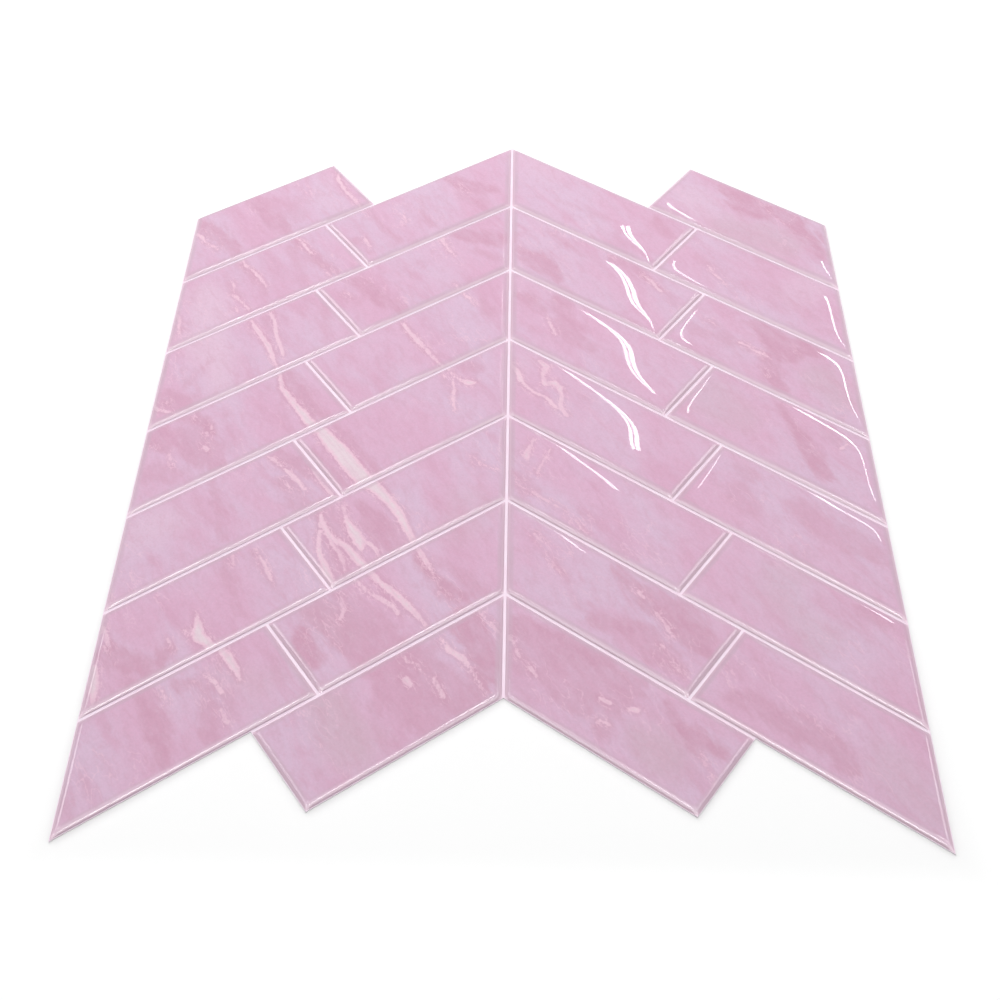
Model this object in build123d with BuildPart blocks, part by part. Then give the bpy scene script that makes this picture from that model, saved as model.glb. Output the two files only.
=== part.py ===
"""Peel and stick herringbone tile: a zigzag-edged film with 28 domed gel pads on a release liner.

The rows of pads climb from both sides to a peak on the centre joint. Each half row is cut once,
square to the row, into an inner and an outer pad. The sheet lies flat, its back on z = 0, with
x = 0 on the centre joint and y = 0 half way up the sheet.
"""

from build123d import *

import os
from math import cos, radians, sin, tan

os.makedirs("parts", exist_ok=True)

# Layout, from joint centre to joint centre
pads_per_column = 7
row_width = 30.1
row_angle = 35.6
sheet_width = 233.4
cut_from_centre = 51.2
joint_width = 0.9

# Layers
liner_thickness = 0.12
film_thickness = 0.3
film_margin = 0.2
pad_height = 1.3

# Edge of a gel pad
edge_width = 2.6
edge_steps = 3
corner_cut = 0.5
corner_growth = 0.3

# Sizes that follow
angle = radians(row_angle)
pitch = row_width / cos(angle)
half_width = sheet_width / 2
cut_bottom = cut_from_centre
cut_top = cut_from_centre + row_width * sin(angle)
film_inset = joint_width / 2 - film_margin
film_bottom = liner_thickness
pad_bottom = liner_thickness + film_thickness

# The peak and the outer tips of the film, with y = 0 on the peak of the uppermost inner joint
peak_y = -film_inset / cos(angle)
tip_y = -(pads_per_column - 1) * pitch - (half_width - film_inset) * tan(angle)
tip_y += film_inset / cos(angle)
middle_y = (peak_y + tip_y) / 2


def on_joint(number, x):
    """The point at x on the centre line of a sloping joint, counted down from the peak."""
    return (x, -number * pitch - abs(x) * tan(angle) - middle_y)


def inner_pad(number, side):
    """Corners of an inner pad, between the centre joint and the square cut."""
    return (
        on_joint(number, 0),
        on_joint(number, side * cut_top),
        on_joint(number + 1, side * cut_bottom),
        on_joint(number + 1, 0),
    )


def outer_pad(number, side):
    """Corners of an outer pad, between the square cut and the side of the sheet."""
    return (
        on_joint(number - 1, side * cut_top),
        on_joint(number - 1, side * half_width),
        on_joint(number, side * half_width),
        on_joint(number, side * cut_bottom),
    )


def sheet_corners():
    """Corners of the whole sheet: each notch takes the end of a pad of the next sheet."""
    last = pads_per_column
    right = (
        on_joint(0, cut_bottom),
        on_joint(-1, cut_top),
        on_joint(-1, half_width),
        on_joint(last - 1, half_width),
        on_joint(last - 1, cut_top),
        on_joint(last, cut_bottom),
    )
    left = [(-x, y) for x, y in reversed(right)]
    return (on_joint(0, 0), *right, on_joint(last, 0), *left)


# Zigzag outline that the film and the liner share
with BuildSketch() as outline:
    with BuildLine():
        Polyline(*sheet_corners(), close=True)
    make_face()
    offset(amount=-film_inset, kind=Kind.INTERSECTION)

# Release liner
with BuildPart() as liner:
    add(outline.sketch)
    extrude(amount=liner_thickness)
liner.part.label = "release_liner"
export_step(liner.part, "parts/release_liner.step")

# Printed film
with BuildPart() as film:
    with BuildSketch(Plane.XY.offset(film_bottom)):
        add(outline.sketch)
    extrude(amount=film_thickness)
film.part.label = "printed_film"
export_step(film.part, "parts/printed_film.step")

# Gel pads: the poured gel stops at the edge of its print, and from there a smooth loft through
# levels of a quarter ellipse rounds it up to its full height
for side_name, side in (("left", -1), ("right", 1)):
    for column_name, pad_corners in (("inner", inner_pad), ("outer", outer_pad)):
        for number in range(pads_per_column):
            corners = pad_corners(number, side)
            with BuildPart() as pad:
                for step in range(edge_steps + 1):
                    edge_angle = radians(90 * step / edge_steps)
                    inset = edge_width * (1 - cos(edge_angle))
                    height = pad_height * sin(edge_angle)
                    with BuildSketch(Plane.XY.offset(pad_bottom + height)) as section:
                        with BuildLine():
                            Polyline(*corners, close=True)
                        make_face()
                        offset(amount=-(joint_width / 2 + inset), kind=Kind.INTERSECTION)
                        chamfer(section.vertices(), corner_cut + corner_growth * inset)
                loft()
            name = f"gel_pad_{side_name}_{column_name}_{number + 1}"
            pad.part.label = name
            export_step(pad.part, f"parts/{name}.step")
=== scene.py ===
"""Peel and stick herringbone tile sheet: domed glossy gel pads over a rose marble print."""
from math import cos, pi, radians, sin, tan

import bpy
import numpy as np
from mathutils import Matrix, Vector


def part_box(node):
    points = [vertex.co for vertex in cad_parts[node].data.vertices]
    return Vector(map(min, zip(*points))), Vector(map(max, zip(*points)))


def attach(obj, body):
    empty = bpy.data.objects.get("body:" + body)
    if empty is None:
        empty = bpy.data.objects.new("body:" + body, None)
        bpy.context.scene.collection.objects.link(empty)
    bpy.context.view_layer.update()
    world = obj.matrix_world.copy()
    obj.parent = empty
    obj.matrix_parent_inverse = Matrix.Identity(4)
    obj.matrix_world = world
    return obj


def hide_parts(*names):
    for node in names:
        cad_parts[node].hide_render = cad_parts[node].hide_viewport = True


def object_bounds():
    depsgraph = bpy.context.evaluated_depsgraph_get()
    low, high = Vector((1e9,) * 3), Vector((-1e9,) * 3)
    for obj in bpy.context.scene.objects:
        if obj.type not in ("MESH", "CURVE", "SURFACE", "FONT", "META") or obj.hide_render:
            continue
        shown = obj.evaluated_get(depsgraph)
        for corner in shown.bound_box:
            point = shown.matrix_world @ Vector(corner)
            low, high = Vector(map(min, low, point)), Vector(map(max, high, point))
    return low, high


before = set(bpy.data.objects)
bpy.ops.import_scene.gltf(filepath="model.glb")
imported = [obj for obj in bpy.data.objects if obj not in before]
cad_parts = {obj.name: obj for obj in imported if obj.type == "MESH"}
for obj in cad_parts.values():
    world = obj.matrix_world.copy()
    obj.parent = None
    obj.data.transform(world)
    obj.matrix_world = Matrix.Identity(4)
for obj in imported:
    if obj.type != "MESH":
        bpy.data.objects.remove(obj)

MM = 0.001
cad_low, cad_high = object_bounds()

# Sizes of the sheet, in mm, as in the part's source
PADS_PER_COLUMN = 7
ROW_WIDTH = 30.1
ROW_ANGLE = radians(35.6)
SHEET_WIDTH = 233.4
CUT_FROM_CENTRE = 51.2
JOINT_WIDTH = 0.9
FILM_MARGIN = 0.2

pad_low, pad_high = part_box("gel_pad_left_inner_1")
PAD_BOTTOM = pad_low.z / MM
PAD_HEIGHT = (pad_high.z - pad_low.z) / MM
FILM_TOP_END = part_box("printed_film")[1].y / MM

PITCH = ROW_WIDTH / cos(ROW_ANGLE)
CUT_TOP = CUT_FROM_CENTRE + ROW_WIDTH * sin(ROW_ANGLE)
# The film's peak stands a little lower than the crossing of the joint lines there
FILM_INSET = JOINT_WIDTH / 2 - FILM_MARGIN
PEAK_Y = FILM_TOP_END + FILM_INSET / cos(ROW_ANGLE)

# Surface of the gel, in mm: a rim that rounds up quickly, a slow swell towards the middle, and a
# faint ripple. The rim and the reach of the swell are each given for the long sides and then for
# the ends, and the headroom is what the still surface leaves under the full height of the pad.
RIM_WIDTHS = (1.6, 1.8)
RIM_POWER = 2.2
SWELL = 0.38
SWELL_REACHES = (4.6, 3.6)
HEADROOM = 0.02
RIPPLE = 0.006
# Waves of the ripple: share of its height, radians to the mm in x and y, and turn of the phase
RIPPLE_WAVES = ((1.0, 0.13, 0.08, 1.0), (0.7, -0.08, 0.2, 2.1), (0.4, 0.32, 0.27, 3.7))
PHASE_STEP = 1.7
# How far in from a pad's edge, in mm, the share of rim reaches; it places the painted shade and the
# painted light on the rims
PAINTED_RIM_REACH = 2.6

# Grid of a pad's mesh, in mm: its places from the foot of the rim inwards, then its even step
RIM_PLACES = [0.0, 0.06, 0.15, 0.28, 0.45, 0.66, 0.9, 1.2, 1.55, 1.95, 2.4, 2.9, 3.5, 4.2, 5.0]
GRID_STEP = 0.75


def srgb(red, green, blue):
    """A colour given as 0 to 255, as the linear values that Blender uses."""
    values = [v / 255 for v in (red, green, blue)]
    return tuple(v / 12.92 if v <= 0.04045 else ((v + 0.055) / 1.055) ** 2.4 for v in values) + (1,)


PINK = srgb(231, 184, 212)
SOFT_PINK = srgb(229, 196, 221)
PALE = srgb(235, 201, 223)
GREY_PINK = srgb(218, 185, 201)
ROSE = srgb(223, 168, 197)
DEEP_ROSE = srgb(218, 164, 190)
VEIN_PINK = srgb(249, 210, 228)
VEIN_CREAM = srgb(244, 221, 231)
# Painted shade: the grey band along the rims, for the darker reflection and shade on their slopes
RIM_PAINTED_SHADE = srgb(214, 182, 200)
# Painted light: the paler foot of the rims, for the white joint seen through the thin gel and the light
# that the steep rim loses
RIM_FOOT_PAINTED_LIGHT = srgb(242, 208, 226)

# Depth of the finest relief of the print, the film and the liner, in mm
RELIEF_DEPTH = 0.02

# The print: strokes of the brush, each a strength and its points, as x, y and half width in mm
VEINS = (
    (0.8, ((-66.5, 134, 0.4), (-66, 129, 0.9), (-62.5, 122, 0.8), (-58, 116, 0.7), (-53.3, 108, 0.3))),
    (0.8, ((-116, 96.5, 0.5), (-113, 94, 0.8), (-111.5, 91, 0.5), (-108, 88.5, 0.5), (-106.5, 87, 0.6))),
    (0.9, ((-79.5, 95, 0.5), (-76.5, 92.5, 0.6), (-74, 88, 0.7), (-71.8, 85, 0.4))),
    (0.7, ((-65.5, 75, 0.3), (-64.7, 73.3, 0.5))),
    (0.8, ((-96.8, 82, 0.4), (-95, 78, 0.6), (-91, 74, 0.6), (-87.5, 69, 0.6), (-86, 66, 0.3))),
    (0.7, ((-98.5, 69, 0.4), (-97.5, 67, 0.6), (-97, 64, 0.3))),
    (0.8, ((-98, 62, 0.4), (-95.5, 60, 0.6), (-92.5, 56.5, 0.7), (-90.8, 54, 0.4))),
    (0.7, ((-95.3, 54.5, 0.6), (-94.7, 53.4, 0.5))),
    (0.9, ((-89.5, 49, 0.5), (-87.5, 45, 0.9), (-85, 41, 0.9), (-81.5, 35, 1.0), (-79.5, 29, 0.9),
           (-78, 26, 0.6), (-76.5, 22, 0.6), (-75, 15.5, 0.9), (-71.5, 10, 1.1), (-69, 6, 1.3),
           (-66, 2, 1.6), (-64, -1, 1.8), (-60, -4.5, 2.1))),
    (0.7, ((-83, 52.5, 0.6), (-81, 48, 0.7), (-80, 42, 0.8), (-77.5, 35, 0.9), (-76, 30.5, 0.4))),
    (1.0, ((-60, -4.5, 2.1), (-57, -9, 2.7), (-53, -14, 3.0), (-49, -20, 3.1), (-45, -25, 2.9),
           (-40, -30, 2.1), (-36, -35, 1.7), (-32.5, -40, 1.6), (-30, -46, 1.3), (-28, -50.5, 0.9))),
    (0.7, ((-28, -50.5, 0.9), (-26.5, -53, 0.9), (-25, -56, 1.0), (-22.5, -61, 0.6), (-20.5, -64.5, 0.3))),
    (0.6, ((-115.5, 52, 0.5), (-114, 48, 0.7), (-113.5, 44, 0.5), (-113, 41, 0.4))),
    (0.8, ((-116, 7, 0.4), (-114.5, 4.5, 0.8), (-111, 3.5, 0.7), (-109, 3, 0.3))),
    (0.8, ((-112.2, 8.2, 0.6), (-111.6, 7.6, 0.6))),
    (0.8, ((-77.5, -14.5, 0.3), (-74, -17.5, 0.6), (-71, -20.5, 0.5), (-67.5, -24, 0.8),
           (-65, -27, 1.0), (-62, -31, 0.4))),
    (0.6, ((-70, -26, 0.4), (-67.5, -29.5, 0.4))),
    (0.6, ((-96.5, -12.3, 1.0), (-95.5, -13.6, 0.9))),
    (0.6, ((-102, 1.2, 0.5), (-101.3, -0.3, 0.5))),
    (0.5, ((-95.8, -2.5, 0.5), (-95.2, -4.6, 0.5))),
    (0.5, ((-96.8, -6, 0.4), (-96, -8, 0.5))),
    (0.5, ((-116, -11, 0.4), (-113, -13.5, 0.5), (-110.5, -13.5, 0.3))),
    (0.5, ((-107.5, -15, 0.4), (-106.5, -18, 0.5), (-105, -21, 0.3))),
    (0.8, ((-61.5, -21, 0.5), (-58.5, -26, 0.7), (-55, -31, 0.6), (-52.5, -34, 0.5), (-50, -38, 0.6),
           (-48.5, -43, 1.0), (-46.5, -46.5, 1.8), (-44, -51, 2.0), (-43.5, -53.5, 1.2))),
    (0.7, ((-43, -51, 0.6), (-40.5, -52, 0.7), (-38.5, -55, 0.6), (-37.5, -57.5, 0.4))),
    (0.8, ((-58, -36.5, 0.4), (-57, -39, 0.6), (-56.3, -43, 0.9), (-54.5, -47, 1.1), (-52.5, -50, 1.0),
           (-48, -53, 1.2), (-45, -57, 1.4), (-42, -60.5, 1.4), (-40, -63, 1.0), (-36, -67.5, 1.1),
           (-31.5, -71.5, 1.2), (-28, -75.5, 1.1), (-25, -79, 0.9), (-22, -83, 0.5))),
    (0.8, ((-56.5, -44, 0.6), (-56.5, -50, 0.9), (-56, -55, 0.8), (-54.5, -59, 1.0), (-53, -63, 1.4),
           (-51, -66.5, 1.0))),
    (0.6, ((-52.5, -52, 0.6), (-50, -55, 0.8), (-48.5, -58.5, 0.8), (-47.5, -62.5, 0.5))),
    (0.7, ((-45, -64.5, 0.4), (-43.5, -66.5, 0.7), (-40.5, -70, 0.8), (-37, -72.5, 0.8), (-33, -75, 0.9),
           (-30.5, -78.5, 0.6))),
    (0.5, ((-48.5, -70, 0.4), (-47.5, -74, 0.6), (-46.5, -77, 0.7), (-47.5, -81, 0.5))),
    (0.8, ((-18, -86.5, 0.4), (-15.5, -91, 1.0), (-12, -93.5, 1.2), (-9.5, -97, 0.6), (-7, -101.5, 0.5),
           (-4.5, -105.5, 0.5))),
    (0.7, ((-8, -76, 0.5), (-5, -80, 0.7), (-1.5, -84.5, 0.5), (1.5, -86, 0.8), (3, -88.5, 0.4))),
    (0.6, ((-29.5, -91.5, 0.4), (-27, -95, 0.6), (-24.5, -96, 0.4), (-23, -98.5, 0.4))),
    (0.7, ((-27.3, -101.5, 1.2), (-25.6, -103.2, 1.0))),
    (0.7, ((-19.5, -101, 0.9), (-18, -104, 0.6), (-16.3, -107.2, 0.6))),
    (0.7, ((-75, -55, 0.3), (-72.5, -58.5, 0.6), (-70.5, -63, 0.6), (-68, -68, 0.4))),
    (0.5, ((-81.5, -57, 0.6), (-81, -60, 0.6))),
    (0.9, ((-89, -79.5, 0.5), (-88, -83, 1.3), (-87.5, -87, 2.2), (-84, -90, 1.6), (-80.5, -91.5, 1.0),
           (-78, -94.5, 1.6), (-75.5, -98, 1.2), (-73.5, -102, 0.5))),
    (0.6, ((-91.5, -85.5, 0.7), (-90, -87, 0.7))),
    (0.8, ((-116, -83, 0.6), (-114, -87, 0.8), (-111.5, -92, 0.3))),
    (0.7, ((-115.5, -99, 1.8), (-114, -105, 1.8), (-113, -110.5, 0.7))),
    (0.6, ((-96, -88, 0.5), (-94, -91.5, 0.5))),
    (0.6, ((-95, -105.5, 0.4), (-92.5, -110, 0.5))),
    (0.7, ((-84, -100.5, 0.5), (-80.5, -103, 0.7), (-78, -106.5, 0.7))),
    (0.5, ((-77.5, -112, 0.5), (-75, -116.5, 0.7))),
    (0.8, ((-37.5, 49, 0.5), (-34, 43, 0.9), (-30.5, 38, 1.0), (-27, 33, 0.7), (-24, 28.5, 0.6),
           (-21, 26, 0.6), (-18, 21.5, 0.7), (-15.5, 19.5, 0.8), (-13, 18.5, 1.3), (-11.2, 18.5, 0.7))),
    (0.7, ((-18.5, 20, 0.5), (-18, 14, 0.7), (-18, 10, 0.7), (-17.2, 5.5, 0.4))),
    (0.6, ((-21.8, 22.5, 0.5), (-21, 20.5, 0.3))),
    (0.6, ((-10.5, -15, 0.3), (-8.5, -18.5, 0.5), (-5, -19.8, 0.3), (-3.2, -20.5, 0.4))),
    (0.5, ((-20, 127, 0.3), (-16.5, 122, 0.4))),
    (0.7, ((-26, 97, 1.0), (-24.5, 93, 0.9), (-23, 89, 0.6), (-20.5, 85.5, 0.6))),
    (0.7, ((-19.5, 69, 0.4), (-17, 65, 0.7), (-15, 62.5, 0.8), (-12, 58, 0.3))),
    (0.5, ((-40, 108, 0.4), (-38.5, 104.5, 0.5))),
    (0.6, ((-53.5, 94, 0.6), (-51, 89.5, 0.5))),
    (0.5, ((-58, 63.5, 0.5), (-55, 61, 0.4))),
    (0.7, ((13, 51.5, 0.4), (14, 48, 0.6), (16, 43, 0.5))),
    (0.6, ((36, 85.5, 0.4), (38, 83, 0.6))),
    (0.7, ((47.5, 75, 0.5), (50, 72, 0.7), (52, 68, 0.7), (53.5, 66, 0.4))),
    (0.6, ((70.5, 81.5, 0.4), (73, 76, 0.5), (76.5, 70.5, 0.5))),
    (0.8, ((78.5, 40, 0.5), (81, 38.5, 0.6), (83, 36, 0.6), (85.5, 34.5, 0.8), (87.5, 33, 0.6))),
    (0.6, ((69, 51.5, 0.4), (71, 48.5, 0.5))),
    (0.5, ((86.5, 27, 0.5), (87.2, 24, 0.4))),
    (0.6, ((108.5, -8, 0.5), (106.3, -9.8, 0.6))),
    (0.8, ((0.5, 29, 0.5), (3, 24, 0.9), (4, 20.5, 1.0), (6, 17, 0.6), (9, 14, 0.6), (12, 12.5, 0.6),
           (14, 9.5, 0.8), (16, 7, 0.5))),
    (0.6, ((10.5, 29.5, 1.0), (12.5, 27, 1.2), (11.5, 22.5, 0.9), (12, 18.5, 0.9), (15, 19, 1.3),
           (17, 17, 1.1), (17.5, 12, 0.8), (17, 8, 0.9), (19, 3.5, 0.7))),
    (0.5, ((8.5, -7, 0.5), (7, -11, 0.9), (6, -14.5, 1.1), (6.5, -17.5, 0.5))),
    (0.5, ((13.5, -12, 0.4), (12, -16, 0.5), (10.5, -19, 0.5), (9.5, -22.5, 0.4))),
    (0.5, ((3, -27, 0.3), (8, -30, 0.4), (13, -34, 0.5), (18.5, -38, 0.4))),
    (0.4, ((21, -41, 0.4), (24.5, -47, 0.4))),
    (0.5, ((8.5, -47, 0.5), (11, -50.5, 0.4))),
    (0.4, ((12, -55, 0.3), (16.5, -62.5, 0.4))),
    (0.6, ((38.5, -68, 0.4), (40.5, -71.5, 0.5))),
    (0.6, ((44, -77, 0.5), (46, -80.5, 0.5), (48, -85, 0.7))),
    (0.5, ((44.5, -88, 0.5), (45.3, -89, 0.5))),
    (0.6, ((47.5, -94.5, 0.4), (49, -97, 0.4), (51, -98.5, 0.4))),
    (0.6, ((3, -90.5, 0.4), (4.5, -93, 0.4))),
    (0.6, ((7.5, -96.5, 0.5), (9, -99.5, 0.5))),
    (0.7, ((26.5, -106.5, 0.5), (29.5, -108.2, 0.7))),
    (0.7, ((34.7, -110.3, 0.8), (36.7, -110.3, 1.1))),
    (0.7, ((26.5, -114, 0.6), (28.7, -115.2, 0.6))),
    (0.4, ((53, -125, 0.3), (55, -129, 0.4), (56.5, -133.5, 0.4))),
)
CLOUDS = (
    (0.8, ((-116, 104, 3), (-110, 97, 4), (-103, 90, 3.5), (-99, 84, 2))),
    (0.7, ((-98, 117, 3), (-93, 112, 4), (-88, 105, 5), (-84, 100, 4), (-82, 97, 2))),
    (0.4, ((-84, 113, 6), (-80, 106, 4))),
    (0.7, ((-78, 92, 1.5), (-72, 84, 2.5), (-66, 78, 2.5), (-62, 75, 1))),
    (0.5, ((-80, 88, 1.5), (-76, 78, 1.5), (-72, 71, 1.2))),
    (0.7, ((-98, 80, 2), (-94, 76, 2), (-89, 68, 1.5), (-85, 61, 1))),
    (0.5, ((-101, 74, 1), (-99, 66, 1), (-95, 62, 1))),
    (0.5, ((-65, 58, 1), (-64, 50, 2), (-61, 41, 2))),
    (0.5, ((-85, 50, 1), (-82, 38, 1.5), (-79, 31, 1.2))),
    (0.7, ((-75, 22, 3), (-70, 14, 4), (-67, 8, 3), (-60, 2, 2))),
    (0.6, ((-76, 14, 1), (-73, 6, 1), (-70, -4, 1))),
    (0.6, ((-112, 10, 4), (-106, 7, 4), (-102, 5, 2))),
    (0.5, ((-100, 28, 0.4), (-107, 16, 0.7), (-110, 11, 1))),
    (0.6, ((-110, -8, 6), (-102, -10, 7), (-97, -14, 6), (-92, -20, 3))),
    (0.8, ((-106, 1, 2), (-99, -2, 2.5), (-96, -6, 2))),
    (0.5, ((-112, -24, 4), (-103, -24, 3))),
    (0.7, ((-72, -16, 3), (-65, -20, 4), (-58, -24, 3))),
    (0.6, ((-71, -28, 2), (-64, -35, 4), (-60, -40, 3))),
    (0.6, ((-93, -24, 1), (-91, -30, 1), (-88, -40, 1.5), (-86, -50, 1.5))),
    (0.6, ((-83, -58, 2), (-82, -66, 2), (-78, -74, 1.5), (-76, -79, 1))),
    (0.4, ((-76, -56, 1), (-70, -66, 1.5), (-66, -74, 1))),
    (0.8, ((-113, -93, 3), (-105, -97, 4), (-98, -99, 3), (-95, -92, 1.5))),
    (0.8, ((-103, -104, 2.5), (-98, -110, 4), (-95, -116, 4), (-93, -122, 3), (-91, -129, 2.5))),
    (0.7, ((-90, -104, 2.5), (-86, -103, 2), (-82, -106, 2), (-80, -113, 2.5), (-79, -120, 2.5))),
    (0.5, ((-76, -108, 2), (-74, -115, 1.5))),
    (0.5, ((-115, -141, 3), (-113, -146, 2))),
    (0.7, ((-25, 131, 2), (-18, 127, 3), (-12, 124, 4), (-8, 124, 2))),
    (0.5, ((-20, 122, 2), (-13, 117, 3), (-10, 112, 2))),
    (0.6, ((-34, 118, 1.5), (-32, 108, 1.5), (-29, 102, 1))),
    (0.6, ((-52, 110, 1), (-49, 104, 1), (-44, 97, 1.2), (-41, 93, 1))),
    (0.6, ((-57, 93, 2), (-51, 86, 1.5))),
    (0.8, ((-20, 98, 2), (-13, 95, 4), (-6, 94, 4), (-1, 96, 3))),
    (0.5, ((-12, 88, 2), (-5, 84, 2))),
    (0.8, ((-58, 72, 1.5), (-50, 66, 4), (-44, 60, 3), (-38, 55, 1.5))),
    (0.5, ((-60, 62, 2), (-53, 59, 2))),
    (0.5, ((-36, 47, 1), (-33, 40, 1.5), (-29, 34, 1))),
    (0.3, ((-57, 27, 1), (-54, 18, 1))),
    (0.5, ((-9, 60, 2), (-7, 54, 2.5))),
    (0.5, ((-16, 27, 2), (-10, 26, 2))),
    (0.7, ((-56, -1, 1.5), (-50, -9, 1.5), (-44, -17, 1.5), (-40, -24, 1))),
    (0.6, ((-60, -15, 2), (-56, -24, 2.5), (-50, -28, 2))),
    (0.8, ((-46, -36, 2), (-41, -42, 4), (-36, -47, 4), (-34, -52, 3))),
    (0.6, ((-56, -38, 4), (-50, -50, 5), (-50, -60, 5))),
    (0.9, ((-27, -57, 1), (-22, -64, 2), (-16, -70, 4), (-11, -72, 3))),
    (0.6, ((-20, -58, 1.5), (-13, -64, 1.5), (-6, -70, 1))),
    (1.0, ((-57, -85, 3), (-56, -91, 4), (-53, -96, 2.5))),
    (0.6, ((-53, -72, 2), (-47, -73, 3), (-40, -78, 3), (-33, -84, 3))),
    (0.9, ((-12, -80, 5), (-7, -88, 5), (-4, -96, 4), (-8, -104, 4))),
    (0.8, ((-32, -100, 3), (-28, -108, 4), (-25, -114, 4), (-20, -110, 3))),
    (0.6, ((-22, -93, 3), (-20, -90, 2))),
    (0.6, ((-25, -116, 3), (-16, -114, 2.5), (-12, -110, 2))),
    (0.8, ((3, 88, 3), (9, 83, 5), (14, 78, 4), (17, 72, 2))),
    (0.5, ((17, 98, 2), (21, 91, 2), (24, 87, 1))),
    (0.7, ((3, 64, 2), (8, 60, 3), (13, 55, 2))),
    (0.6, ((18, 60, 4), (19, 50, 4), (22, 42, 4), (28, 36, 2))),
    (0.4, ((18, 118, 1.5), (28, 112, 1.5), (34, 108, 2))),
    (0.7, ((54, 106, 2), (58, 100, 2), (60, 97, 1))),
    (0.7, ((38, 84, 3), (44, 79, 3), (50, 72, 1.5), (56, 64, 1), (58, 57, 1))),
    (0.9, ((80, 128, 2), (86, 121, 5.5), (91, 114, 6), (98, 112, 5), (104, 106, 4), (110, 97, 3.5),
           (113, 88, 2))),
    (0.4, ((92, 78, 1), (96, 66, 1.5), (100, 60, 1), (106, 52, 1))),
    (0.3, ((68, 86, 2), (74, 78, 2), (80, 70, 1))),
    (0.9, ((84, 50, 2), (90, 42, 5), (94, 37, 7), (99, 38, 5), (104, 36, 3))),
    (0.8, ((86, 32, 3), (88, 24, 3.5), (90, 17, 2))),
    (0.5, ((62, 48, 2), (72, 42, 2), (80, 36, 2))),
    (0.9, ((89, 9, 1), (91, 3, 2), (94, -5, 3), (97, -14, 3), (98, -22, 2.5))),
    (0.5, ((103, -3, 3), (107, -6, 2))),
    (0.5, ((72, -18, 2), (76, -24, 2))),
    (0.5, ((90, -35, 4), (97, -44, 5), (105, -50, 5), (112, -55, 3))),
    (0.4, ((72, -30, 5), (76, -36, 4))),
    (0.5, ((104, -75, 3), (110, -79, 2.5))),
    (0.4, ((91, -71, 2), (93, -73, 2))),
    (0.7, ((63, -105, 2), (70, -108, 3), (76, -113, 4), (83, -117, 5), (90, -121, 4), (93, -127, 3))),
    (0.8, ((34, -60, 2), (37, -66, 3), (42, -72, 3), (50, -77, 6), (55, -84, 5), (57, -90, 3))),
    (0.7, ((26, -80, 2), (33, -81, 2.5), (40, -86, 5), (44, -92, 4), (50, -96, 2))),
    (0.5, ((3, -24, 3), (7, -29, 3))),
    (0.4, ((33, -50, 1), (36, -56, 1.5))),
    (0.4, ((15, -58, 0.6), (19, -68, 0.8), (21, -74, 0.6))),
    (0.8, ((4, -82, 4), (14, -88, 5), (20, -92, 6), (28, -95, 5))),
    (0.6, ((15, -100, 6), (22, -106, 7), (34, -104, 5), (38, -101, 3))),
    (0.6, ((27, -112, 3), (27, -118, 2))),
    (0.9, ((45, -108, 1), (48, -115, 1.5), (52, -120, 3), (57, -124, 3))),
    # The last three, wide and soft over the near end, are partly print and partly painted shade: the near
    # end darker, as the light falls off towards the camera
    (0.7, ((-52, -78, 7), (-32, -94, 9), (-12, -108, 7))),
    (0.6, ((-30, -106, 7), (-12, -122, 5))),
    (0.6, ((10, -92, 8), (30, -104, 8))),
)
PALE_PATCHES = (
    (0.9, ((-104, 52, 8), (-108, 62, 7))),
    (0.9, ((-105, 38, 7), (-100, 28, 7), (-95, 18, 5))),
    (0.6, ((-112, -50, 6), (-104, -44, 7))),
    (0.4, ((-70, 128, 5), (-72, 118, 5), (-66, 112, 4))),
    (0.5, ((66, 122, 7), (72, 112, 7))),
    (0.35, ((6, 146, 8), (12, 138, 8))),
    (0.5, ((3, 24, 4), (6, 30, 3))),
    (0.5, ((102, 66, 7), (108, 74, 6))),
)
GREY_PATCHES = (
    (0.7, ((80, 104, 6), (92, 99, 8), (101, 92, 6))),
    (0.7, ((104, 22, 6), (108, 12, 5))),
    (0.6, ((66, 12, 9), (76, 4, 7))),
    (0.8, ((44, -125, 7), (38, -119, 5))),
    (0.9, ((-48, -110, 7), (-40, -122, 7))),
    (0.6, ((-56, -78, 4), (-46, -86, 5))),
    (0.5, ((84, -62, 6), (78, -70, 6), (90, -84, 6))),
    (0.5, ((104, -128, 7), (112, -142, 5))),
    (0.5, ((-78, -100, 3), (-68, -104, 5))),
    (0.4, ((-10, -36, 8), (-16, -46, 6))),
)
# The fields that the strokes give, each with the depth, in mm, at which it ends outside them
FIELDS = {
    "vein": (VEINS, -3.0),
    "rose": (CLOUDS, -9.0),
    "pale": (PALE_PATCHES, -12.0),
    "grey": (GREY_PATCHES, -12.0),
}
# Between strokes their strengths blend: over this many mm, and no further in than this depth
STROKE_BLEND = 0.7
DEEPEST_BLEND = 4
NO_WEIGHT = 1e-9


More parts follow.
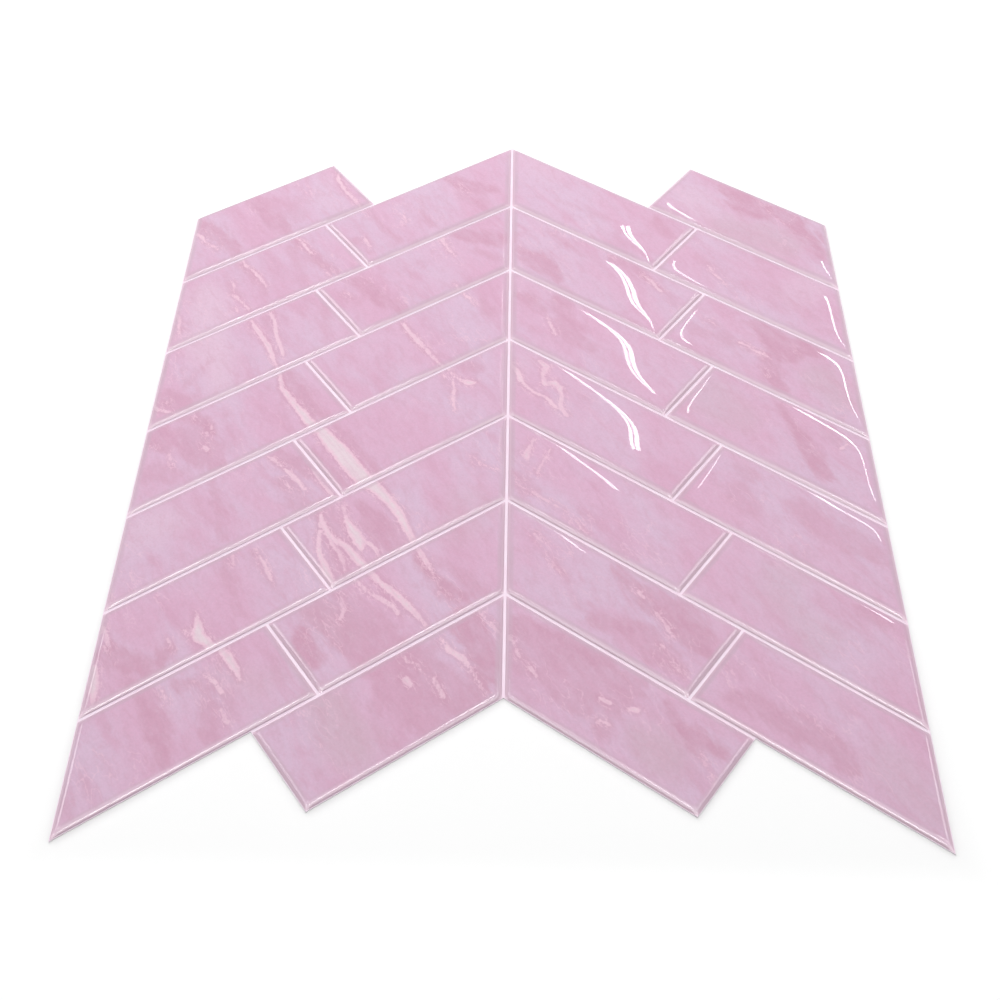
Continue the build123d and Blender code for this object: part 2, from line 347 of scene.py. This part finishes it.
def stroke_field(points, table, low):
    """How far inside the nearest stroke each point lies, in mm, and the strength of the strokes
    around it, which fades from one to the next."""
    depth = np.full(len(points), low)
    weight = np.zeros(len(points))
    strength_sum = np.zeros(len(points))
    for strength, stroke in table:
        nodes = np.array(stroke, float)
        reach = nodes[:, 2].max() - low
        box_low, box_high = nodes[:, :2].min(0) - reach, nodes[:, :2].max(0) + reach
        near = ((points > box_low) & (points < box_high)).all(1)
        if not near.any():
            continue
        here = points[near]
        inside = np.full(len(here), low)
        for start, end in zip(nodes[:-1], nodes[1:]):
            along = end[:2] - start[:2]
            share = np.clip((here - start[:2]) @ along / (along @ along), 0, 1)
            distance = np.linalg.norm(here - start[:2] - share[:, None] * along, axis=1)
            inside = np.maximum(inside, start[2] + share * (end[2] - start[2]) - distance)
        depth[near] = np.maximum(depth[near], inside)
        pull = np.exp(np.clip(inside, low, DEEPEST_BLEND) / STROKE_BLEND)
        weight[near] += pull
        strength_sum[near] += pull * strength
    return depth, strength_sum / np.maximum(weight, NO_WEIGHT)


# Node helpers
def new_material(name):
    """An empty material and its node tree."""
    material = bpy.data.materials.new(name)
    material.use_nodes = True
    material.node_tree.nodes.clear()
    return material, material.node_tree


def add_node(tree, kind, inputs=None, **settings):
    """A new node with its settings and its inputs, which are values or sockets of other nodes."""
    node = tree.nodes.new("ShaderNode" + kind)
    for key, value in settings.items():
        setattr(node, key, value)
    for key, value in (inputs or {}).items():
        socket = node.inputs[key]
        if isinstance(value, bpy.types.NodeSocket):
            tree.links.new(value, socket)
        else:
            socket.default_value = value
    return node


def link_output(tree, shader, kind="OutputMaterial"):
    tree.links.new(shader, add_node(tree, kind).inputs[0])


def math_node(tree, operation, *values):
    return add_node(tree, "Math", dict(enumerate(values)), operation=operation).outputs[0]


def product(tree, first, second):
    return math_node(tree, "MULTIPLY", first, second)


def ramp(tree, value, low, high, out_low=0.0, out_high=1.0):
    """A smooth step from out_low to out_high, as the value goes from low to high."""
    inputs = {"Value": value, "From Min": low, "From Max": high, "To Min": out_low, "To Max": out_high}
    return add_node(tree, "MapRange", inputs, interpolation_type="SMOOTHSTEP").outputs[0]


def mix_colour(tree, factor, first, second, blend="MIX"):
    """A mix of two colours. The sockets go by number, because each type's have the same names."""
    inputs = {0: factor, 6: first, 7: second}
    return add_node(tree, "Mix", inputs, data_type="RGBA", blend_type=blend).outputs[2]


def noise(tree, vector, scale, detail=2.0, roughness=0.5, distortion=0.0, output=0):
    """A noise: its value from output 0, or its colour from output 1."""
    inputs = {"Vector": vector, "Scale": scale, "Detail": detail, "Roughness": roughness,
              "Distortion": distortion}
    return add_node(tree, "TexNoise", inputs).outputs[output]


def attribute(tree, name):
    """A number that the mesh of a pad carries at each point."""
    return add_node(tree, "Attribute", attribute_name=name, attribute_type="GEOMETRY").outputs["Fac"]


def warped(tree, vector, scale, amount, detail=2.0):
    """The place moved about by a noise of the given scale, by up to about amount."""
    push = noise(tree, vector, scale, detail, output=1)
    push = add_node(tree, "VectorMath", {0: push, 1: (0.5, 0.5, 0.5)}, operation="SUBTRACT").outputs[0]
    push = add_node(tree, "VectorMath", {0: push, "Scale": 2 * amount}, operation="SCALE").outputs[0]
    return add_node(tree, "VectorMath", {0: vector, 1: push}, operation="ADD").outputs[0]


def along_veins(tree, vector, direction, long, short):
    """Coordinates stretched along the veins, so that a noise in them is drawn out that way."""
    return add_node(tree, "Mapping", {
        "Vector": vector,
        "Rotation": (0, 0, radians(direction)),
        "Scale": (long * MM, short * MM, 1),
    }, vector_type="TEXTURE").outputs[0]


def torn(tree, name, grain, amount):
    """A field of strokes, in mm, with its edge torn by a noise of up to about amount."""
    shift = product(tree, math_node(tree, "SUBTRACT", grain, 0.5), 2 * amount)
    return math_node(tree, "ADD", attribute(tree, name), shift)


def patches(tree, name, grain, amount, low, high):
    """The torn strokes of a field as a share of colour, times their strength."""
    shape = ramp(tree, torn(tree, name, grain, amount), low, high)
    return product(tree, shape, attribute(tree, name + "_strength"))


def hairlines(tree, vector, direction, long, short, width):
    """Thin lines where a noise drawn out along the veins passes through its middle."""
    level = noise(tree, along_veins(tree, vector, direction, long, short), 1.0, 4, 0.55)
    away = math_node(tree, "ABSOLUTE", math_node(tree, "SUBTRACT", level, 0.5))
    return ramp(tree, away, 0, width, 1, 0)


def mottled(tree, colour, grain, middle, high, rose_share, pale_share):
    """The colour deepened where the grain is above its middle, and made paler where it is below."""
    colour = mix_colour(tree, ramp(tree, grain, middle, high, 0, rose_share), colour, DEEP_ROSE)
    return mix_colour(tree, ramp(tree, grain, 0.3, middle, pale_share, 0), colour, PALE)


def marble_ground(tree, slow):
    """Pinks that drift along the veins, with soft pale and grey patches."""
    drift = noise(tree, along_veins(tree, slow, -58, 55, 22), 1.0, 4, 0.55)
    colour = mix_colour(tree, ramp(tree, drift, 0.36, 0.66), PINK, SOFT_PINK)
    flush = noise(tree, along_veins(tree, slow, -55, 34, 9), 1.0, 6, 0.62, 0.5)
    colour = mix_colour(tree, ramp(tree, flush, 0.48, 0.7, 0, 0.55), colour, ROSE)
    soft = noise(tree, along_veins(tree, slow, -60, 26, 12), 1.0, 4, 0.6)
    colour = mix_colour(tree, patches(tree, "pale", soft, 8, -5, 5), colour, PALE)
    grey = product(tree, patches(tree, "grey", soft, 8, -5, 5), 0.7)
    return mix_colour(tree, grey, colour, GREY_PINK)


def marble_clouds(tree, colour, fine):
    """Ragged rose clouds, of which the three wide ones at the near end are partly painted shade, and over
    all a mottling like that of a wash, in two sizes.
    """
    ragged = noise(tree, along_veins(tree, fine, -57, 15, 5), 1.0, 7, 0.68, 0.4)
    cloud = patches(tree, "rose", ragged, 6.5, -1.8, 1.7)
    uneven = noise(tree, along_veins(tree, fine, -55, 9, 4), 1.0, 5, 0.65)
    depth = ramp(tree, uneven, 0.32, 0.62, 0.55, 1)
    colour = mix_colour(tree, product(tree, cloud, depth), colour, DEEP_ROSE)
    mottle = noise(tree, along_veins(tree, fine, -60, 8, 3.5), 1.0, 7, 0.7, 0.5)
    colour = mottled(tree, colour, mottle, 0.46, 0.68, 0.32, 0.3)
    speckle = noise(tree, along_veins(tree, fine, -60, 2.6, 1.3), 1.0, 5, 0.75)
    return mottled(tree, colour, speckle, 0.48, 0.7, 0.25, 0.25)


def marble_cracks(tree, colour, slow, fine):
    """Faint pale hairlines, only here and there."""
    where = ramp(tree, noise(tree, along_veins(tree, slow, -50, 40, 22), 1.0, 2), 0.48, 0.62)
    crack = product(tree, hairlines(tree, fine, -58, 24, 8, 0.010), where)
    return mix_colour(tree, product(tree, crack, 0.45), colour, VEIN_PINK)


def marble_veins(tree, colour, fine):
    """The veins, pink with a cream middle, between rose banks and with short threads beside them."""
    edge = torn(tree, "vein", noise(tree, fine, 420, 6, 0.75), 1.3)
    strength = attribute(tree, "vein_strength")
    bank = product(tree, ramp(tree, edge, -1.6, -0.1, 0, 0.4), strength)
    colour = mix_colour(tree, bank, colour, DEEP_ROSE)
    beside = ramp(tree, attribute(tree, "vein"), -2.8, -0.4, 0, 0.7)
    thread = product(tree, hairlines(tree, fine, -54, 7, 2.2, 0.022), beside)
    colour = mix_colour(tree, thread, colour, VEIN_PINK)
    strands = noise(tree, along_veins(tree, fine, -56, 12, 1.1), 1.0, 4, 0.65)
    vein = product(tree, ramp(tree, edge, -0.15, 0.4), ramp(tree, strands, 0.3, 0.6, 0.7, 1))
    vein = product(tree, vein, ramp(tree, strength, 0.1, 0.9, 0.35, 1))
    middle = mix_colour(tree, ramp(tree, edge, 0.4, 1.6), VEIN_PINK, VEIN_CREAM)
    return mix_colour(tree, vein, colour, middle)


def marble_colour(tree):
    """The whole print, under a fine grain, with some painted shade in the wide rose clouds at its near
    end.
    """
    place = add_node(tree, "TexCoord").outputs["Object"]
    slow = warped(tree, place, 28, 5 * MM)
    fine = warped(tree, place, 330, 0.6 * MM, 3)
    colour = marble_ground(tree, slow)
    colour = marble_clouds(tree, colour, fine)
    colour = marble_cracks(tree, colour, slow, fine)
    colour = marble_veins(tree, colour, fine)
    grain = ramp(tree, noise(tree, place, 1500, 2), 0.3, 0.7)
    grain = mix_colour(tree, grain, srgb(250, 250, 250), (1, 1, 1, 1))
    return mix_colour(tree, 1.0, colour, grain, "MULTIPLY")


def relief(tree, height, strength, normal=None):
    """The normal of a surface with a relief of at most RELIEF_DEPTH, from a height of 0 to 1."""
    inputs = {"Height": height, "Strength": strength, "Distance": RELIEF_DEPTH * MM}
    if normal is not None:
        inputs["Normal"] = normal
    return add_node(tree, "Bump", inputs).outputs[0]


def flat_normal(tree):
    """The direction out of the sheet, in world space: the print under the gel is flat."""
    return add_node(tree, "VectorTransform", {0: (0, 0, 1)}, vector_type="NORMAL",
                    convert_from="OBJECT", convert_to="WORLD").outputs[0]


def gel_material():
    """A clear gel over a flat print: a deep gloss, a grey band of painted shade along the rims, and a pale
    foot of painted light at their edges, for the white joint seen through the thin gel and the light that
    the steep rim loses."""
    material, tree = new_material("marble_gel")
    place = add_node(tree, "TexCoord").outputs["Object"]
    rim = attribute(tree, "rim")
    # Painted shade: a grey band along the rims, uneven along them
    uneven = ramp(tree, noise(tree, place, 60, 2), 0.35, 0.65, 0.25, 0.6)
    grey = product(tree, ramp(tree, rim, 0.06, 0.42), uneven)
    colour = mix_colour(tree, grey, marble_colour(tree), RIM_PAINTED_SHADE)
    # Painted light: a paler foot at the edge of each rim
    colour = mix_colour(tree, ramp(tree, rim, 0.58, 0.90, 0, 0.9), colour, RIM_FOOT_PAINTED_LIGHT)
    weave = noise(tree, place, 900, 3, 0.6)
    print_relief = relief(tree, weave, 0.15, flat_normal(tree))
    shader = add_node(tree, "BsdfPrincipled", {
        "Base Color": colour,
        "Roughness": ramp(tree, weave, 0.3, 0.7, 0.5, 0.65),
        "Specular IOR Level": 0.0,
        "Normal": print_relief,
        "Coat Weight": 1.0,
        "Coat Roughness": 0.015,
        "Coat IOR": 1.5,
    })
    link_output(tree, shader.outputs[0])
    return material


def shaded_sides(tree, colour, painted_side_shade):
    """A sheet's colour, and a darker one painted on its cut sides as shade."""
    normal = add_node(tree, "TexCoord").outputs["Normal"]
    up = math_node(tree, "ABSOLUTE", add_node(tree, "SeparateXYZ", {0: normal}).outputs[2])
    return mix_colour(tree, ramp(tree, up, 0.3, 0.7), painted_side_shade, colour)


def film_material():
    """Printed vinyl, bare in the joints: a pale pink with a faint tooth."""
    material, tree = new_material("bare_film")
    place = add_node(tree, "TexCoord").outputs["Object"]
    tone = ramp(tree, noise(tree, place, 120, 4), 0.3, 0.7)
    colour = mix_colour(tree, tone, srgb(252, 227, 244), srgb(254, 236, 250))
    # Painted shade: the cut sides of the film darker
    colour = shaded_sides(tree, colour, srgb(236, 220, 229))
    tooth = relief(tree, noise(tree, place, 2600, 2), 0.08)
    inputs = {"Base Color": colour, "Roughness": 0.42, "Normal": tooth}
    link_output(tree, add_node(tree, "BsdfPrincipled", inputs).outputs[0])
    return material


def liner_material():
    """Release paper: off-white, with the faint fibres of a thin kraft sheet."""
    material, tree = new_material("release_paper")
    place = add_node(tree, "TexCoord").outputs["Object"]
    fibres = noise(tree, along_veins(tree, place, 90, 14, 0.7), 1.0, 4, 0.6)
    colour = mix_colour(tree, ramp(tree, fibres, 0.35, 0.65), srgb(240, 239, 232), srgb(249, 248, 244))
    # Painted shade: the cut sides of the liner darker
    colour = shaded_sides(tree, colour, srgb(240, 235, 237))
    inputs = {"Base Color": colour, "Roughness": 0.35, "Normal": relief(tree, fibres, 0.15)}
    link_output(tree, add_node(tree, "BsdfPrincipled", inputs).outputs[0])
    return material


# The gel pads
def on_joint(number, x):
    """The point at x on the centre line of a sloping joint, counted down from the peak."""
    return Vector((x, PEAK_Y - number * PITCH - abs(x) * tan(ROW_ANGLE)))


def pad_corners(column, number, side):
    """Corners of a pad between joint centre lines: inner top, outer top, outer foot, inner foot."""
    if column == "inner":
        return [on_joint(number, 0), on_joint(number, side * CUT_TOP),
                on_joint(number + 1, side * CUT_FROM_CENTRE), on_joint(number + 1, 0)]
    return [on_joint(number - 1, side * CUT_TOP), on_joint(number - 1, side * SHEET_WIDTH / 2),
            on_joint(number, side * SHEET_WIDTH / 2), on_joint(number, side * CUT_FROM_CENTRE)]


def edge_lines(corners, centre):
    """The sides of a pad, half a joint in, each as a point on it and its inward direction."""
    lines = []
    for start, end in zip(corners, corners[1:] + corners[:1]):
        along = (end - start).normalized()
        inward = Vector((-along.y, along.x))
        if inward.dot(centre - start) < 0:
            inward = -inward
        lines.append((start + inward * JOINT_WIDTH / 2, inward))
    return lines


def crossing(first, second):
    """Where two sides cross."""
    (point, normal), (other_point, other_normal) = first, second
    rows = Matrix((normal, other_normal))
    return rows.inverted() @ Vector((normal.dot(point), other_normal.dot(other_point)))


def rim_steps(length):
    """Places from one end of a side to the other, as shares of it, close together in both rims."""
    rim = RIM_PLACES[-1]
    between = length - 2 * rim
    count = max(2, round(between / GRID_STEP))
    middle = [rim + between * i / count for i in range(1, count)]
    return np.array(RIM_PLACES + middle + [length - d for d in reversed(RIM_PLACES)]) / length


def gel_height(points, lines, phase):
    """Height of the gel over the film at places in plan, and the share of rim there, which places the
    painted shade and the painted light on the rims.
    """
    rim, swell = np.ones(len(points)), np.ones(len(points))
    nearest = np.full(len(points), np.inf)
    for (origin, inward), width, reach in zip(lines, RIM_WIDTHS * 2, SWELL_REACHES * 2):
        distance = np.maximum(0, (points - np.array(origin)) @ np.array(inward))
        rim *= 1 - (1 - np.minimum(distance / width, 1)) ** RIM_POWER
        swell *= np.tanh(distance / reach)
        nearest = np.minimum(nearest, distance)
    x, y = points.T
    wave = sum(share * np.sin(per_x * x + per_y * y + turn * phase)
               for share, per_x, per_y, turn in RIPPLE_WAVES)
    height = (PAD_HEIGHT - SWELL - HEADROOM) * rim + SWELL * swell + RIPPLE * wave * swell * rim
    return height, np.maximum(0, 1 - nearest / PAINTED_RIM_REACH)


def pad_grid(lines):
    """Places in plan between the four sides of a pad, as rows and columns of a grid."""
    inner_top, outer_top, outer_foot, inner_foot = [
        np.array(crossing(lines[i - 1], lines[i])) for i in range(4)]
    across = rim_steps(np.linalg.norm(inner_top - inner_foot))[:, None, None]
    along = rim_steps(np.linalg.norm(inner_foot - outer_foot))[None, :, None]
    return ((inner_top * (1 - along) + outer_top * along) * (1 - across)
            + (inner_foot * (1 - along) + outer_foot * along) * across)


def grid_faces(rows, columns):
    """The faces of a grid, and last the one that closes it from below, round its border."""
    start = (np.arange(rows - 1)[:, None] * columns + np.arange(columns - 1)).ravel()
    faces = np.column_stack((start, start + 1, start + columns + 1, start + columns)).tolist()
    last_row = (rows - 1) * columns
    border = (list(range(columns)) + [i * columns + columns - 1 for i in range(1, rows)]
              + list(range(last_row + columns - 2, last_row - 1, -1))
              + [i * columns for i in range(rows - 2, 0, -1)])
    return faces + [border[::-1]]


def add_attribute(mesh, name, values):
    """Numbers at the points of a mesh, which its material reads."""
    mesh.attributes.new(name, "FLOAT", "POINT").data.foreach_set("value", np.asarray(values, np.float32))


def add_object(name, data):
    item = bpy.data.objects.new(name, data)
    bpy.context.scene.collection.objects.link(item)
    return item


def make_pad(name, column, number, side, phase, material):
    """One closed pad, its top a fine grid and its foot on the film."""
    corners = pad_corners(column, number, side)
    lines = edge_lines(corners, sum(corners, Vector((0, 0))) / 4)
    points = pad_grid(lines)
    faces = grid_faces(*points.shape[:2])
    if side > 0:
        faces = [face[::-1] for face in faces]
    points = points.reshape(-1, 2)
    height, rim = gel_height(points, lines, phase)
    vertices = np.column_stack((points, PAD_BOTTOM + height)) * MM

    mesh = bpy.data.meshes.new(name)
    mesh.from_pydata(vertices.tolist(), [], faces)
    add_attribute(mesh, "rim", rim)
    for field, (table, low) in FIELDS.items():
        depth, strength = stroke_field(points, table, low)
        add_attribute(mesh, field, depth)
        add_attribute(mesh, field + "_strength", strength)
    mesh.polygons.foreach_set("use_smooth", [True] * (len(faces) - 1) + [False])
    mesh.materials.append(material)
    mesh.validate()
    return add_object(name, mesh)


gel = gel_material()
phase = 0.0
for side_name, side in (("left", -1), ("right", 1)):
    for column in ("inner", "outer"):
        for number in range(PADS_PER_COLUMN):
            node = f"gel_pad_{side_name}_{column}_{number + 1}"
            phase += PHASE_STEP
            pad = make_pad(node + "_domed", column, number, side, phase, gel)
            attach(pad, "root")
            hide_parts(node)

# The film and the liner keep their CAD meshes
for node, material in (("printed_film", film_material()), ("release_liner", liner_material())):
    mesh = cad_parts[node].data
    mesh.materials.clear()
    mesh.materials.append(material)

# Floor: its half size in m, its drop below the sheet in mm, so that the two don't share a plane,
# and its colour
FLOOR_HALF = 4.0
FLOOR_DROP = 0.02
FLOOR_COLOUR = 0.92

# The lift that shows the floor as white. It goes from one value to the other in the first mm
# beyond the sheet's box, and then gains the far lift between two distances, in m.
FLOOR_LIFTS = (0.20, 0.28)
EDGE_LIFT_WIDTH = 15
FAR_FLOOR_LIFT = 0.27
FAR_LIFT_RANGE = (0.05, 0.8)

# Occlusion of the floor at the sheet's edges: its reach in mm, its power and its least value
CONTACT_REACH = 3.0
CONTACT_POWER = 0.9
CONTACT_LOW = 0.88

# Room, in m: the wall with the windows, the lamps' ceiling and the pale ceiling over it. A
# radiance of 1 renders as white.
WINDOW_WALL = 1.2
LAMP_CEILING = 1.4
PALE_CEILING = 1.45
LAMP_RADIANCE = 14
WORLD_LIGHT = 0.50

# The photo's camera, as fitted to the crossings of the joints: its place in mm, where it looks,
# its roll in degrees, and its lens and sensor in mm
CAMERA_PLACE = (2.08, -344.25, 347.8)
CAMERA_LOOK = (-0.00881378, 0.66792117, -0.74417984)
CAMERA_ROLL = 0.135
CAMERA_LENS = 54.25
CAMERA_SENSOR = 36


def background_rays(tree):
    """1 for the rays that see the background: from the camera, or from gloss or glass."""
    rays = add_node(tree, "LightPath").outputs
    seen = math_node(tree, "MAXIMUM", rays["Is Camera Ray"], rays["Is Glossy Ray"])
    return math_node(tree, "MAXIMUM", seen, rays["Is Transmission Ray"])


def floor_lift(tree):
    """What lifts the floor to white: less within the sheet's box, so that the shadow at its edges
    is kept, and more far from the lamps."""
    axes = add_node(tree, "SeparateXYZ", {0: add_node(tree, "TexCoord").outputs["Object"]}).outputs
    beyond = [math_node(tree, "SUBTRACT", math_node(tree, "ABSOLUTE", axes[i]), cad_high[i])
              for i in range(2)]
    beyond = math_node(tree, "MAXIMUM", *beyond)
    near = ramp(tree, beyond, 0, EDGE_LIFT_WIDTH * MM, *FLOOR_LIFTS)
    return math_node(tree, "ADD", near, ramp(tree, beyond, *FAR_LIFT_RANGE, 0, FAR_FLOOR_LIFT))


def make_floor():
    """A plain white floor, lifted to full white for the rays that see the background. A little
    occlusion deepens the shadow within a few mm of the sheet."""
    mesh = bpy.data.meshes.new("floor")
    corners = [(x * FLOOR_HALF, y * FLOOR_HALF, 0) for x, y in ((-1, -1), (1, -1), (1, 1), (-1, 1))]
    mesh.from_pydata(corners, [], [(0, 1, 2, 3)])
    material, tree = new_material("white_floor")
    contact = add_node(tree, "AmbientOcclusion", {"Distance": CONTACT_REACH * MM}).outputs["AO"]
    contact = math_node(tree, "POWER", contact, CONTACT_POWER)
    contact = math_node(tree, "MAXIMUM", contact, CONTACT_LOW)
    white = mix_colour(tree, contact, (0, 0, 0, 1), (FLOOR_COLOUR, FLOOR_COLOUR, FLOOR_COLOUR, 1))
    paint = add_node(tree, "BsdfDiffuse", {"Color": white}).outputs[0]
    lift = product(tree, product(tree, background_rays(tree), contact), floor_lift(tree))
    lift = add_node(tree, "Emission", {"Color": (1, 1, 1, 1), "Strength": lift}).outputs[0]
    link_output(tree, add_node(tree, "AddShader", {0: paint, 1: lift}).outputs[0])
    mesh.materials.append(material)
    floor = add_object("floor", mesh)
    floor.location.z = -FLOOR_DROP * MM


def make_world():
    """A plain white room: it shows as full white, and lights the sheet at a lower strength."""
    world = bpy.data.worlds.new("studio")
    world.use_nodes = True
    tree = world.node_tree
    tree.nodes.clear()
    light = add_node(tree, "Background", {"Color": (1, 1, 1, 1), "Strength": WORLD_LIGHT}).outputs[0]
    shown = add_node(tree, "Background", {"Color": (1, 1, 1, 1), "Strength": 1.0}).outputs[0]
    mixed = add_node(tree, "MixShader", {0: background_rays(tree), 1: light, 2: shown}).outputs[0]
    link_output(tree, mixed, "OutputWorld")
    bpy.context.scene.world = world


def area_light(name, place, facing, along, width, height, radiance):
    """A rectangular lamp. Its height runs along the given direction, as nearly as the direction
    that it faces allows."""
    data = bpy.data.lights.new(name, "AREA")
    data.shape = "RECTANGLE"
    data.size, data.size_y = width, height
    data.energy = radiance * width * height * pi
    lamp = add_object(name, data)
    back = -Vector(facing).normalized()
    upright = Vector(along)
    upright = (upright - upright.dot(back) * back).normalized()
    lamp.location = place
    lamp.rotation_euler = Matrix((upright.cross(back), upright, back)).transposed().to_euler()
    return lamp


def window_strip(name, low, high, width):
    """An upright strip of window behind the sheet, between two points given as x and z."""
    (x0, z0), (x1, z1) = low, high
    rise = Vector((x1 - x0, 0, z1 - z0))
    place = ((x0 + x1) / 2, WINDOW_WALL, (z0 + z1) / 2)
    area_light(name, place, (0, -1, 0), rise, width, rise.length, LAMP_RADIANCE)


def ceiling_lamp(name, x, y, width, length, roll=0.0, radiance=LAMP_RADIANCE, height=LAMP_CEILING):
    """A lamp overhead that only the gloss shows, turned by a roll in degrees."""
    along = (-sin(radians(roll)), cos(radians(roll)), 0)
    lamp = area_light(name, (x, y, height), (0, 0, -1), along, width, length, radiance)
    lamp.visible_diffuse = False


def pale_ceiling(name, x, y, width, length, radiance):
    """A dim stretch of ceiling that only the gloss shows."""
    ceiling_lamp(name, x, y, width, length, radiance=radiance, height=PALE_CEILING)


def soft_light(name, place, facing, size, radiance):
    """A square lamp that the gloss doesn't show."""
    lamp = area_light(name, place, facing, (1, 0, 0), size, size, radiance)
    lamp.visible_glossy = False


def make_camera():
    data = bpy.data.cameras.new("camera")
    data.sensor_width = CAMERA_SENSOR
    data.lens = CAMERA_LENS
    data.clip_start, data.clip_end = 0.01, 30
    camera = add_object("camera", data)
    camera.location = Vector(CAMERA_PLACE) * MM
    facing = Vector(CAMERA_LOOK).to_track_quat("-Z", "Y").to_matrix()
    facing = facing @ Matrix.Rotation(radians(CAMERA_ROLL), 3, "Z")
    camera.rotation_euler = facing.to_euler()
    bpy.context.scene.camera = camera


make_floor()
make_world()
# A tall narrow window behind the sheet: its two panes are the white streaks on the right inner pads
window_strip("window_pane_left", (0.1365, 0.85), (0.1765, 1.27), 0.0045)
window_strip("window_pane_right", (0.1445, 0.85), (0.1845, 1.27), 0.0062)
# A second, further to the right: it draws the lines inside the right ends of the right outer pads
window_strip("side_window_low", (0.455, 0.90), (0.545, 1.13), 0.020)
window_strip("side_window_high", (0.545, 1.13), (0.720, 1.36), 0.016)
# Lamps overhead: the hooks at the cuts, and the thin lines along the lower rims
ceiling_lamp("hooks_right", 0.42, 0.16, 0.26, 0.20, -40)
ceiling_lamp("hooks_left", -0.47, 0.24, 0.12, 0.16)
ceiling_lamp("lines_left_outer_near", 0.676, -0.69, 0.13, 0.58, 12)
ceiling_lamp("lines_left_outer_far", 0.571, -0.20, 0.07, 0.40, 12)
ceiling_lamp("lines_left_inner", 0.90, -0.31, 0.10, 0.18)
ceiling_lamp("lines_right_outer", -0.64, -0.62, 0.14, 0.50, -12)
ceiling_lamp("lines_left_front", 0.74, -1.10, 0.28, 0.26)
ceiling_lamp("lines_right_front", -0.76, -1.10, 0.28, 0.26)
# The pale ceiling that the rims facing the camera mirror
pale_ceiling("ceiling_near", 0, -1.20, 4.4, 1.3, 4.5)
pale_ceiling("ceiling_middle", 0, -0.20, 4.4, 0.7, 3.0)
pale_ceiling("ceiling_far_left", -1.7, 0.7, 1.4, 1.0, 4.5)
pale_ceiling("ceiling_far_right", 1.7, 0.7, 1.4, 1.0, 4.5)
# The plain light of the room: one lamp overhead, a little behind, and a weaker low one behind it,
# which gives the soft shadow. Both fade towards the camera.
soft_light("key", (-0.05, 0.25, 0.8), (0, 0, -1), 0.5, 3.1)
soft_light("low_light", (-0.25, 1.05, 0.55), (0.25, -1.05, -0.55), 0.4, 9.4)
make_camera()

bpy.context.scene.view_settings.view_transform = "Standard"
